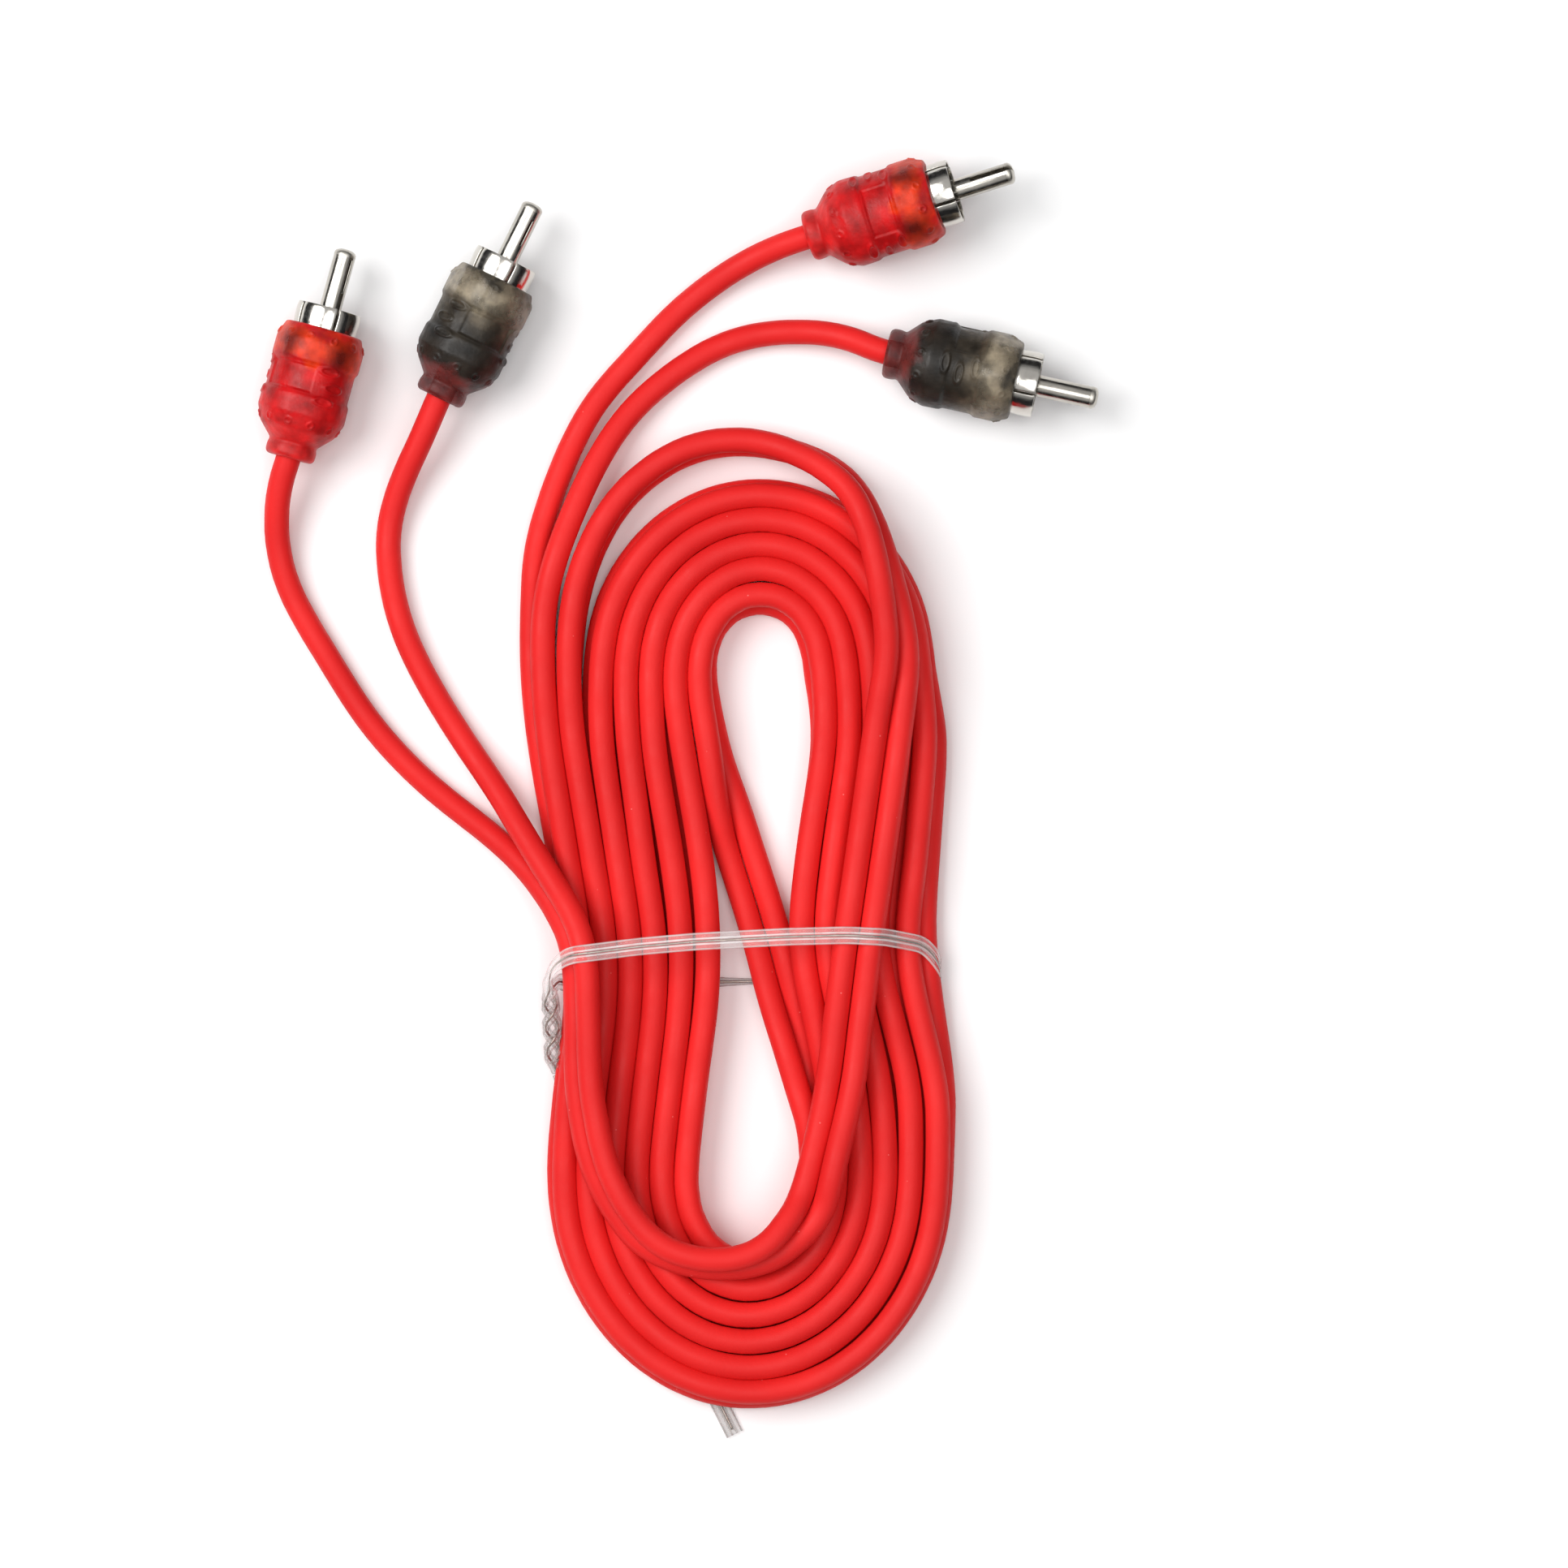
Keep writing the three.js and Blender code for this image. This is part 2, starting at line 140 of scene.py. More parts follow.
# lanes of the two legs: x of the upper cable at each y on the leg
LEG_Y = (10.0, -9.0, -20.0, -31.0, -42.0)
LEFT_LEG = {
    "outer": (-19.6, -16.5, -14.8, -14.3, -15.6),
    "single": (-15.5, -12.5, -10.8, -10.8, -12.3),
    "n1": (-11.3, -8.8, -7.3, -7.4, -8.7),
    "n2": (-7.3, -5.1, -3.7, -3.9, -5.0),
    "n3": (-3.8, -0.9, 0.3, 0.0, -1.1),
    "n4": (0.4, 3.4, 4.3, 3.9, 2.3),
}
RIGHT_LEG = {
    "n3": (21.3, 18.9, 18.2, 19.9, 22.0),
    "n2": (25.1, 22.7, 21.8, 23.6, 25.7),
    "n1": (28.7, 26.4, 25.5, 27.3, 29.5),
    "single": (32.5, 30.2, 29.2, 31.2, 33.7),
    "outer": (36.5, 35.4, 34.6, 36.0, 38.0),
}
# half turns: x at the left and right ends, y of the middle
TOP_BASE, BOTTOM_BASE = 18.6, -55.2
TOP = {
    "n1": (-11.2, 34.7, 44.4), "n2": (-7.4, 32.1, 41.2), "n3": (-3.7, 28.3, 37.4),
    "n4": (-0.2, 24.6, 33.9), "inner": (3.1, 20.8, 30.4),
}
BOTTOM = {
    "outer": (-15.9, 37.9, -86.7), "single": (-13.7, 33.9, -83.2), "n1": (-9.9, 30.2, -79.3),
    "n2": (-6.1, 26.5, -75.4), "n3": (-2.5, 22.9, -71.5), "n4": (1.0, 19.8, -68.0),
}
# The pairs lean a little, so that each lower cable lies under the gap on its outer side.
LEAN = 9
ANTICLOCKWISE = ("single", "n2", "n4")     # lanes wound that way; the others go clockwise
# rolls that differ from the lean, by leg and lane
LEG_ROLL = {
    ("left", "outer"): (115, 110, 104, 100, 99),
    ("left", "n4"): (70, 74, 80, 81, 81),
    ("left", "n1"): (106, 99, 99, 99, 99),
    ("right", "single"): (72, 66, 66, 70, 76),
    ("right", "n3"): (84, 94, 99, 99, 99),
    ("right", "outer"): (114, 120, 128, 122, 108),
}
ARC_ROLL = {("top", "inner"): 66, ("top", "n1"): 106, ("bottom", "single"): 72}
ARC_FULLNESS = {("top", "inner"): 0.86, ("bottom", "n4"): 0.88}     # under 1, a rounder end than an ellipse
ARC_STEPS = 12                    # pieces of one half turn


def lean_shift(roll):
    """How far the middle of a leaning pair lies outside its upper cable."""
    return CABLE_R * abs(math.cos(math.radians(roll)))


def lean_roll(lane):
    """The usual roll of a pair in this lane."""
    return 90 - LEAN if lane in ANTICLOCKWISE else 90 + LEAN


def leg(side, lane):
    """The stations down one leg of the hank, from its top."""
    xs = (LEFT_LEG if side == "left" else RIGHT_LEG)[lane]
    rolls = LEG_ROLL.get((side, lane), (lean_roll(lane),) * len(LEG_Y))
    # the outer lane keeps its middle where it would be at the usual lean
    outward = [lean_shift(90 - LEAN if lane == "outer" else roll) for roll in rolls]
    return [(x - shift if side == "left" else x + shift, y, 0, roll)
            for x, y, shift, roll in zip(xs, LEG_Y, outward, rolls)]


def arc(end, lane):
    """A half turn from its left end to its right end."""
    left, right, middle = (TOP if end == "top" else BOTTOM)[lane]
    base = TOP_BASE if end == "top" else BOTTOM_BASE
    roll = ARC_ROLL.get((end, lane), lean_roll(lane))
    outward = lean_shift(roll) if lane != "inner" else 0
    fullness = ARC_FULLNESS.get((end, lane), 1)
    left, right = left - outward, right + outward
    middle += outward if end == "top" else -outward
    found = []
    for step in range(ARC_STEPS + 1):
        angle = math.pi * (1 - step / ARC_STEPS)
        x = (left + right) / 2 + (right - left) / 2 * math.cos(angle)
        found.append((x, base + (middle - base) * max(math.sin(angle), 0) ** fullness, 0, roll))
    return found


def hank_route():
    """The pair's stations through the whole hank, in the order in which the cable was wound."""
    route = list(FIRST_RUN)
    lane = "single"
    for next_lane in ("n2", "n4"):
        route += leg("left", lane) + arc("bottom", lane) + leg("right", lane)[::-1]
        route += arc("top", next_lane)[::-1]
        lane = next_lane
    route += leg("left", "n4") + arc("bottom", "n4")[:-1] + CROSSING + arc("top", "inner")
    lane = "n3"
    for next_lane in ("n1", "outer"):
        route += leg("right", lane) + arc("bottom", lane)[::-1] + leg("left", lane)[::-1]
        route += arc("top", lane)
        lane = next_lane
    route += leg("right", "outer") + arc("bottom", "outer")[::-1] + leg("left", "outer")[::-1]
    return route + LAST_RUN


def catmull_rom(points, spacing):
    """Points about spacing apart on a smooth curve through the given ones (centripetal)."""
    points = np.asarray(points, float)
    points = np.vstack([2 * points[0] - points[1], points, 2 * points[-1] - points[-2]])
    found = []
    for p0, p1, p2, p3 in zip(points, points[1:], points[2:], points[3:]):
        knots = np.cumsum([0] + [max(np.linalg.norm(b - a), 1e-6) ** 0.5
                                 for a, b in ((p0, p1), (p1, p2), (p2, p3))])
        pieces = max(1, round(np.linalg.norm(p2 - p1) / spacing))
        for t in np.linspace(knots[1], knots[2], pieces, endpoint=False):
            a1 = p0 + (p1 - p0) * (t - knots[0]) / (knots[1] - knots[0])
            a2 = p1 + (p2 - p1) * (t - knots[1]) / (knots[2] - knots[1])
            a3 = p2 + (p3 - p2) * (t - knots[2]) / (knots[3] - knots[2])
            b1 = a1 + (a2 - a1) * (t - knots[0]) / (knots[2] - knots[0])
            b2 = a2 + (a3 - a2) * (t - knots[1]) / (knots[3] - knots[1])
            found.append(b1 + (b2 - b1) * (t - knots[1]) / (knots[2] - knots[1]))
    found.append(points[-2])
    return np.array(found)


STEP = 2.4                        # spacing of the worked-out centreline points


def wound_pair():
    """Centrelines of cables A and B through the hank."""
    middle = catmull_rom(hank_route(), STEP)
    travel = np.gradient(middle[:, :2], axis=0)
    travel /= np.linalg.norm(travel, axis=1, keepdims=True)
    left = np.column_stack([-travel[:, 1], travel[:, 0]])
    roll = np.radians(middle[:, 3])
    height = middle[:, 2] + TOUCH + CABLE_R * (1 + np.abs(np.sin(roll)))
    centre = np.column_stack([middle[:, :2], height])
    aside = CABLE_R * np.column_stack([left * np.cos(roll)[:, None], np.sin(roll)])
    return centre - aside, centre + aside


INSIDE_BOOT = 4.6                 # how far a cable's jacket runs into its boot
BEHIND_BOOT = 1.4                 # how far it goes straight on behind it


def plug_end(name):
    """A cable's first points: inside the boot, at its rear end, and a little behind it."""
    return [list(PLUG[name] @ Vector((0, along * MM, 0)) / MM)
            for along in (INSIDE_BOOT, 0, -BEHIND_BOOT)]


def cable(first, wound, last):
    start = plug_end(first) + LEADS[first]
    end = LEADS[last][::-1] + plug_end(last)[::-1]
    return eased(catmull_rom(np.vstack([start, wound[::2], end]), STEP))


# ------------------------------------------------------------------ settling of the turns
# what the cables lie on besides the table: a strip's middle line and half width
TIE_BASE_STRIP = (((39.0, -24.5), (8.6, -26.6), (-18.4, -26.4)), 1.4)
TAIL_STRIP = (((-17.6, -38.8), (8.3, -93.6)), 1.2)
STRIP_LIFT = 0.7
SETTLE_STEPS = 160
HELD_ENDS = 6                     # points at each end of a cable that stay put
SAME_STRETCH = 5                  # points nearer than this along one cable don't push each other
REACH = 8.0                       # cables farther apart than this never meet
PUSH_SHARE = 0.3
BEND_SHARE = 0.3
PULL_SHARE = (0.04, 0.04, 0.02)
LEAST_BEND = 7.7
UNKINK_STEPS = 60


def strip_height(xy, line, half_width):
    """How much a strip on the table lifts what crosses it."""
    away = np.full(len(xy), np.inf)
    for a, b in zip(line, line[1:]):
        a, b = np.array(a), np.array(b)
        share = np.clip(((xy - a) @ (b - a)) / ((b - a) @ (b - a)), 0, 1)
        away = np.minimum(away, np.linalg.norm(xy - a - share[:, None] * (b - a), axis=1))
    return STRIP_LIFT * np.clip(1.5 - away / (2 * half_width), 0, 1)


def eased(points, times=12):
    """The same line with its small kinks eased out, without shrinking its curves."""
    points = points.copy()
    for _ in range(times):
        for share in (0.5, -0.52):
            points[1:-1] += share * ((points[:-2] + points[2:]) / 2 - points[1:-1])
    return points


def bends(points):
    """How far each point lies from the middle of its neighbours."""
    found = np.zeros_like(points)
    found[1:-1] = (points[:-2] + points[2:]) / 2 - points[1:-1]
    return found


def unkink(points):
    """The same line with each bend that is tighter than LEAST_BEND opened out."""
    points = points.copy()
    for _ in range(UNKINK_STEPS):
        bend = bends(points)
        size = np.maximum(np.linalg.norm(bend, axis=1), 1e-9)
        span = np.full(len(points), STEP)
        span[1:-1] = np.linalg.norm(points[2:] - points[:-2], axis=1) / 2
        excess = np.clip(1 - span ** 2 / (2 * LEAST_BEND) / size, 0, 1)
        excess[:HELD_ENDS] = excess[-HELD_ENDS:] = 0
        points += 0.5 * bend * excess[:, None]
    return points


def settle(cables):
    """Pushes apart the cables that lie in each other, keeping them near their lanes and off the table."""
    target = np.vstack(cables)
    wanted_bends = bends(target)
    place = target.copy()
    owner = np.concatenate([np.full(len(c), k) for k, c in enumerate(cables)])
    order = np.concatenate([np.arange(len(c)) for c in cables])
    inner = np.ones(len(place), bool)
    for k in range(len(cables)):
        mine = np.flatnonzero(owner == k)
        inner[mine[:HELD_ENDS]] = inner[mine[-HELD_ENDS:]] = False
    near = (owner[:, None] == owner[None]) & (np.abs(order[:, None] - order[None]) < SAME_STRETCH)
    one, other = np.triu_indices(len(place), 1)
    close = ~near[one, other] & (np.linalg.norm(target[one] - target[other], axis=1) < REACH)
    one, other = one[close], other[close]
    for _ in range(SETTLE_STEPS):
        apart = place[one] - place[other]
        distance = np.linalg.norm(apart, axis=1)
        push = np.clip(2 * CABLE_R - distance, 0, None) / np.maximum(distance, 1e-6) * PUSH_SHARE
        move = np.zeros_like(place)
        np.add.at(move, one, apart * push[:, None])
        np.add.at(move, other, -apart * push[:, None])
        pull = (target - place) * PULL_SHARE
        ease = BEND_SHARE * (bends(place) - wanted_bends)
        place += np.where(inner[:, None], move + ease + pull, 0)
        lowest = FLOOR_Z + np.maximum(strip_height(place[:, :2], *TIE_BASE_STRIP),
                                      strip_height(place[:, :2], *TAIL_STRIP))
        place[:, 2] = np.where(inner, np.maximum(place[:, 2], lowest), place[:, 2])
    place += eased(place - target, 6) - (place - target)
    return [unkink(place[owner == k]) for k in range(len(cables))]


wound_a, wound_b = wound_pair()
cable_a, cable_b = settle([
    cable("left_red", wound_a, "right_red"), cable("left_smoke", wound_b, "right_smoke")])


def length_of(points):
    return float(np.linalg.norm(np.diff(points, axis=0), axis=1).sum()) * MM


# ------------------------------------------------------------------ material tools
class Look:
    """A node material round one Principled shader; lengths in object coordinates are in metres."""

    def __init__(self, name, **values):
        self.material = bpy.data.materials.new(name)
        self.material.use_nodes = True
        self.tree = self.material.node_tree
        self.shader = self.tree.nodes["Principled BSDF"]
        for socket, value in values.items():
            self.shader.inputs[socket.replace("_", " ").title().replace("Ior", "IOR")].default_value = value
        self.place = self.node("ShaderNodeTexCoord").outputs["Object"]

    def node(self, kind, settings=(), **inputs):
        made = self.tree.nodes.new(kind)
        for key, value in dict(settings).items():
            setattr(made, key, value)
        for key, value in inputs.items():
            self.feed(made.inputs[int(key[1:]) if key[0] == "i" and key[1:].isdigit() else key], value)
        return made

    def feed(self, socket, value):
        if isinstance(value, bpy.types.NodeSocket):
            self.tree.links.new(value, socket)
        else:
            socket.default_value = value

    def set(self, socket, value):
        self.feed(self.shader.inputs[socket], value)

    def noise(self, size, detail=3.0, place=None):
        """Noise with features about size metres across, from about 0.3 to 0.7."""
        return self.node("ShaderNodeTexNoise", Vector=place or self.place, Scale=1 / size,
                         Detail=detail).outputs[0]

    def math(self, operation, first, second=0.5):
        return self.node("ShaderNodeMath", {"operation": operation}, i0=first, i1=second).outputs[0]

    def fit(self, value, low, high, new_low=0.0, new_high=1.0):
        made = self.node("ShaderNodeMapRange", Value=value)
        ends = {"From Min": low, "From Max": high, "To Min": new_low, "To Max": new_high}
        for key, number in ends.items():
            made.inputs[key].default_value = number
        return made.outputs[0]

    def ramp(self, value, stops):
        made = self.node("ShaderNodeValToRGB", Fac=value)
        elements = made.color_ramp.elements
        while len(elements) < len(stops):
            elements.new(1.0)
        for element, (position, color) in zip(elements, stops):
            element.position = position
            element.color = (*color, 1) if len(color) == 3 else color
        return made.outputs["Color"]

    def mix(self, share, first, second, blend="MIX"):
        made = self.node("ShaderNodeMix", {"data_type": "RGBA", "blend_type": blend}, i0=share)
        self.feed(made.inputs[6], first)
        self.feed(made.inputs[7], second)
        return made.outputs[2]

    def bump(self, height, distance, strength=1.0):
        """Bump of the given depth in metres."""
        self.set("Normal", self.node("ShaderNodeBump", Height=height, Distance=distance,
                                     Strength=strength).outputs[0])

    def along(self):
        """Distance along the object's own Y axis, and the three coordinates."""
        return self.node("ShaderNodeSeparateXYZ", Vector=self.place).outputs


def jacket_look():
    """Soft red PVC: satin, faintly uneven, with pale dust specks."""
    look = Look("red_pvc_jacket", specular_ior_level=0.16)
    broad = look.noise(0.018, 2)
    base = look.ramp(broad, [(0.35, (0.69, 0.016, 0.016)), (0.65, (0.79, 0.022, 0.021))])
    cells = look.node("ShaderNodeTexVoronoi", Vector=look.place, Scale=260.0).outputs["Distance"]
    speck = look.fit(cells, 0.022, 0.036, 1.0, 0.0)
    look.set("Base Color", look.mix(look.math("MULTIPLY", speck, 0.35), base, (0.95, 0.35, 0.32, 1)))
    fine = look.noise(0.0006, 4)
    look.set("Roughness", look.fit(look.noise(0.004, 4), 0.3, 0.7, 0.42, 0.6))
    look.bump(look.math("ADD", fine, look.math("MULTIPLY", broad, 3.0)), 0.00003)
    return look.material


def boot_color_red(look, share, place):
    """Saturated red; over the metal shell, a painted orange glow for light the shell sends back through the
    vinyl, and two painted dark reflections of the shell there.
    """
    # painted light: the orange stops from 0.82 to 0.9 of the length stand for light from the metal shell
    # showing through the vinyl
    base = look.ramp(share, [
        (0.0, (0.78, 0.020, 0.020)), (0.2, (0.66, 0.010, 0.011)), (0.5, (0.52, 0.004, 0.006)),
        (0.74, (0.56, 0.005, 0.006)), (0.82, (0.86, 0.040, 0.005)), (0.9, (0.84, 0.044, 0.005)),
        (1.0, (0.54, 0.006, 0.008))])
    # painted reflection: two dark patches, mirrored to both sides over the shell, stand for the shell's
    # dark reflections seen through the vinyl
    mirrored = look.node("ShaderNodeCombineXYZ", X=look.math("ABSOLUTE", place[0]), Y=place[1], Z=place[2])
    away = look.node("ShaderNodeVectorMath", {"operation": "DISTANCE"}, i0=mirrored.outputs[0],
                     i1=(0.0039, 0.0161, 0.0050)).outputs["Value"]
    painted_dark_reflection = look.fit(look.math("ADD", away, look.math("MULTIPLY", look.noise(0.0025, 4), 0.004)),
                     0.0026, 0.0052, 0.85, 0.0)
    return look.mix(painted_dark_reflection, base, (0.09, 0.006, 0.005, 1))


def boot_color_smoke(look, share, place):
    """Smoky grey-brown, reddish over the cable's end, with a painted highlight over the metal shell for its
    reflection showing through.
    """
    # painted highlight: the pale stops from 0.76 to 0.93 of the length stand for the metal shell's
    # reflection seen through the smoke vinyl
    return look.ramp(share, [
        (0.0, (0.200, 0.022, 0.020)), (0.16, (0.140, 0.020, 0.017)), (0.28, (0.026, 0.019, 0.014)),
        (0.46, (0.016, 0.013, 0.010)), (0.62, (0.036, 0.028, 0.019)), (0.76, (0.11, 0.088, 0.060)),
        (0.86, (0.36, 0.30, 0.21)), (0.93, (0.24, 0.195, 0.135)), (1.0, (0.050, 0.042, 0.030))])


def boot_look(name, color_of, cloud_tones, density):
    """Translucent moulded vinyl with a lightly wavy, eroded skin."""
    look = Look(name, specular_ior_level=0.28, ior=1.5)
    place = look.along()
    wobble = look.math("MULTIPLY", look.math("SUBTRACT", look.noise(0.0042, 4), 0.5), 0.011)
    share = look.math("DIVIDE", look.math("ADD", place[1], wobble), BOOT_LENGTH * MM)
    color = color_of(look, share, place)
    darker, lighter = cloud_tones
    cloud = look.ramp(look.noise(0.0028, 5), [(0.3, (darker,) * 3), (0.7, (lighter,) * 3)])
    look.set("Base Color", look.mix(1.0, color, cloud, "MULTIPLY"))
    look.set("Alpha", look.ramp(share, [(at, (level,) * 3) for at, level in density]))
    look.set("Roughness", look.fit(look.noise(0.0012, 4), 0.3, 0.7, 0.30, 0.52))
    skin = look.math("ADD", look.noise(0.0022, 2), look.math("MULTIPLY", look.noise(0.0003, 3), 0.25))
    look.bump(skin, 0.00014)
    return look.material


def nickel_look(name, base, rough):
    """Bright nickel plate with fine handling marks."""
    look = Look(name, metallic=1.0)
    tone = look.noise(0.003, 4)
    look.set("Base Color", look.mix(look.fit(tone, 0.35, 0.65), (*base, 1), (*(0.82 * v for v in base), 1)))
    look.set("Roughness", look.fit(look.noise(0.0009, 5), 0.3, 0.7, rough, rough + 0.14))
    place = look.node("ShaderNodeMapping", Vector=look.place, Scale=(1, 0.15, 1)).outputs[0]
    look.bump(look.noise(0.0004, 4, place), 0.000012)
    return look.material


def plain_look(name, dark, light, size, rough, depth, **values):
    """Moulded plastic or drawn wire: two close tones, uneven gloss and a fine grain."""
    look = Look(name, **values)
    look.set("Base Color", look.ramp(look.noise(size, 4), [(0.35, dark), (0.65, light)]))
    look.set("Roughness", look.fit(look.noise(size / 3, 4), 0.3, 0.7, rough, rough + 0.15))
    look.bump(look.noise(size / 5, 3), depth)
    return look.material


def clear_look():
    """Clear vinyl of the twist tie."""
    look = Look("clear_vinyl_tie", ior=1.45, specular_ior_level=0.8)
    bunched_and_painted_grey, across = (look.node("ShaderNodeAttribute", {"attribute_name": name}).outputs["Fac"]
                       for name in ("bunched_and_painted_grey", "across"))
    # painted shade: pale where the ribbon is high, dark grey where it lies low and in the knot, for the
    # dark outlines of clear vinyl over the table
    look.set("Base Color", look.mix(bunched_and_painted_grey, (0.88, 0.87, 0.86, 1), (0.40, 0.37, 0.35, 1)))
    # light gathers in lines at the ribbon's edges and at the grooves between its ribs
    across = look.math("ABSOLUTE", across)
    lines = [look.fit(look.math("ABSOLUTE", look.math("SUBTRACT", across, at)), 0.0, 0.16, 1.0, 0.0)
             for at in (0.90, 0.30)]
    uneven = look.fit(look.noise(0.003, 3), 0.3, 0.7, 0.25, 0.62)
    bright = look.math("MULTIPLY", look.math("MAXIMUM", *lines), uneven)
    look.set("Alpha", look.math("ADD", bright, look.fit(bunched_and_painted_grey, 0, 1, 0.13, 0.16)))
    look.set("Roughness", look.fit(look.noise(0.002, 3), 0.3, 0.7, 0.06, 0.2))
    look.bump(look.noise(0.0015, 3), 0.00006)
    return look.material


# how dense each boot is at each share of its length
RED_DENSITY = [(0.0, 0.86), (0.3, 0.93), (0.7, 0.93), (0.82, 0.78), (0.92, 0.8), (1.0, 0.9)]
SMOKE_DENSITY = [(0.0, 0.7), (0.22, 0.84), (0.35, 0.96), (0.7, 0.94), (0.82, 0.6), (0.92, 0.6), (1.0, 0.82)]

LOOKS = {
    "jacket": jacket_look(),
    "red_boot": boot_look("red_vinyl_boot", boot_color_red, (0.58, 1.3), RED_DENSITY),
    "smoke_boot": boot_look("smoke_vinyl_boot", boot_color_smoke, (0.38, 1.5), SMOKE_DENSITY),
    "nickel": nickel_look("nickel_plate", (0.68, 0.65, 0.60), 0.09),
    "pin": nickel_look("nickel_pin", (0.56, 0.53, 0.48), 0.13),
    "pin_tip": nickel_look("nickel_pin_tip", (0.62, 0.59, 0.53), 0.28),
    "polyethylene": plain_look("white_polyethylene", (0.72, 0.71, 0.66), (0.82, 0.81, 0.77),
                               0.002, 0.35, 0.00002),
    "inner_mold": plain_look("dark_inner_mold", (0.016, 0.013, 0.012), (0.035, 0.030, 0.026),
                             0.002, 0.45, 0.00006),
    "copper": plain_look("bare_copper", (0.62, 0.26, 0.13), (0.80, 0.40, 0.22),
                         0.001, 0.28, 0.00002, metallic=1.0),
    "tie_wire": plain_look("tie_wire", (0.34, 0.27, 0.22), (0.48, 0.41, 0.36),
                           0.001, 0.25, 0.00002, metallic=1.0),
    "tie": clear_look(),
    "floor": plain_look("table_top", (0.93, 0.93, 0.93), (0.95, 0.95, 0.95), 0.05, 0.7, 0.00002),
}


# ------------------------------------------------------------------ pieces
def place_piece(piece, looks, replaced, matrix=None):
    """Links a piece, puts it in its place, gives it its materials and body, and hides the CAD nodes that it
    replaces.
    """
    bpy.context.collection.objects.link(piece)
    if matrix is not None:
        piece.matrix_world = matrix
    for look in looks:
        piece.data.materials.append(LOOKS[look])
    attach(piece, BODY)
    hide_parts(*replaced)
    return piece


def mesh_object(name, verts, faces):
    """A smooth-shaded mesh from points in mm."""
    data = bpy.data.meshes.new(name)
    data.from_pydata([tuple(v) for v in np.asarray(verts, float) * MM], [], faces)
    data.shade_smooth()
    return bpy.data.objects.new(name, data)


def cable_object(name, points):
    """A round cable as one smooth spline."""
    data = bpy.data.curves.new(name, "CURVE")
    data.dimensions = "3D"
    data.bevel_depth = CABLE_R * MM
    data.bevel_resolution = 5
    data.resolution_u = 3
    data.use_fill_caps = True
    chosen = np.vstack([points[:-1:2], points[-1]]) * MM
    spline = data.splines.new("BEZIER")
    spline.bezier_points.add(len(chosen) - 1)
    for point, place in zip(spline.bezier_points, chosen):
        point.co = place
        point.handle_left_type = point.handle_right_type = "AUTO"
    return bpy.data.objects.new(name, data)


# ------------------------------------------------------------------ boots
# outline of the boot: [along, radius], from inside the cable hole over the outside to the shell's seat
BOOT_OUTSIDE = [
    (0.0, 1.95), (0.0, 3.3), (0.5, 3.7), (1.6, 3.7), (2.3, 3.5), (4.4, 5.55), (6.6, 6.5), (9.3, 6.45),
    (9.6, 6.15), (14.0, 6.15), (14.3, 6.5), (17.3, 6.5), (BOOT_LENGTH, 5.65), (BOOT_LENGTH, 4.75)]
BOOT_INSIDE = [(14.2, 4.75), (13.8, 4.3), (5.6, 4.3), (4.9, 1.95)]
GRAIN = 0.14                      # spacing of the outline's points
PLAIN_ENDS = 8                    # points at each end of the outline that carry no marks
CORNER_PASSES = 5                 # how often the outline's corners are worn down
BOOT_COLUMNS = 240
PANEL_TURN = {"left_red": -26, "left_smoke": 25, "right_red": 0, "right_smoke": -55}
PANEL = {"middle": 11.75, "half_length": 1.95, "half_width": 3.9, "depth": 0.2, "edge": 0.16}
DOTS = {"rows": (5.2, 17.9), "count": 11, "phase": -17, "radius": 0.45, "ridge": 0.12, "height": 0.2}
OVALS = {"places": ((9.0, 55), (11.2, 66), (13.5, 54)), "long": 1.4, "short": 0.55, "ridge": 0.14,
         "height": 0.22}


def resampled(points, spacing):
    points = np.asarray(points, float)
    run = np.concatenate([[0], np.cumsum(np.linalg.norm(np.diff(points, axis=0), axis=1))])
    at = np.linspace(0, run[-1], max(2, round(run[-1] / spacing)))
    return np.column_stack([np.interp(at, run, points[:, k]) for k in range(points.shape[1])])


def rounded(points, times):
    """The same line with its corners worn round."""
    for _ in range(times):
        points[1:-1] = 0.5 * points[1:-1] + 0.25 * (points[:-2] + points[2:])
    return points


def ridge(distance, width):
    return np.exp(-(distance / width) ** 2)


def boot_relief(along, angle, radius, panel_angle):
    """Height of the moulded marks over the boot's skin: a sunk panel, raised rings and raised ovals."""
    def around(turn):
        return (np.mod(angle - turn + math.pi, 2 * math.pi) - math.pi) * radius
    edge = PANEL["edge"]
    inside = (np.clip((PANEL["half_length"] - np.abs(along - PANEL["middle"])) / edge, 0, 1)
              * np.clip((PANEL["half_width"] - np.abs(around(panel_angle))) / edge, 0, 1))
    relief = -PANEL["depth"] * inside
    for row in DOTS["rows"]:
        for k in range(DOTS["count"]):
            turn = panel_angle + math.radians(DOTS["phase"] + 360 * k / DOTS["count"])
            away = np.hypot(along - row, around(turn))
            relief += DOTS["height"] * ridge(away - DOTS["radius"], DOTS["ridge"])
    for place, turn in OVALS["places"]:
        for side in (-1, 1):
            away = np.hypot((along - place) / OVALS["short"],
                            around(panel_angle + side * math.radians(turn)) / OVALS["long"]) - 1
            relief += OVALS["height"] * ridge(away * OVALS["short"], OVALS["ridge"])
    return relief


def ring_faces(rings, columns, closed):
    faces = []
    for ring in range(rings if closed else rings - 1):
        first, second = ring * columns, (ring + 1) % rings * columns
        faces += [(first + k, first + (k + 1) % columns, second + (k + 1) % columns, second + k)
                  for k in range(columns)]
    return faces


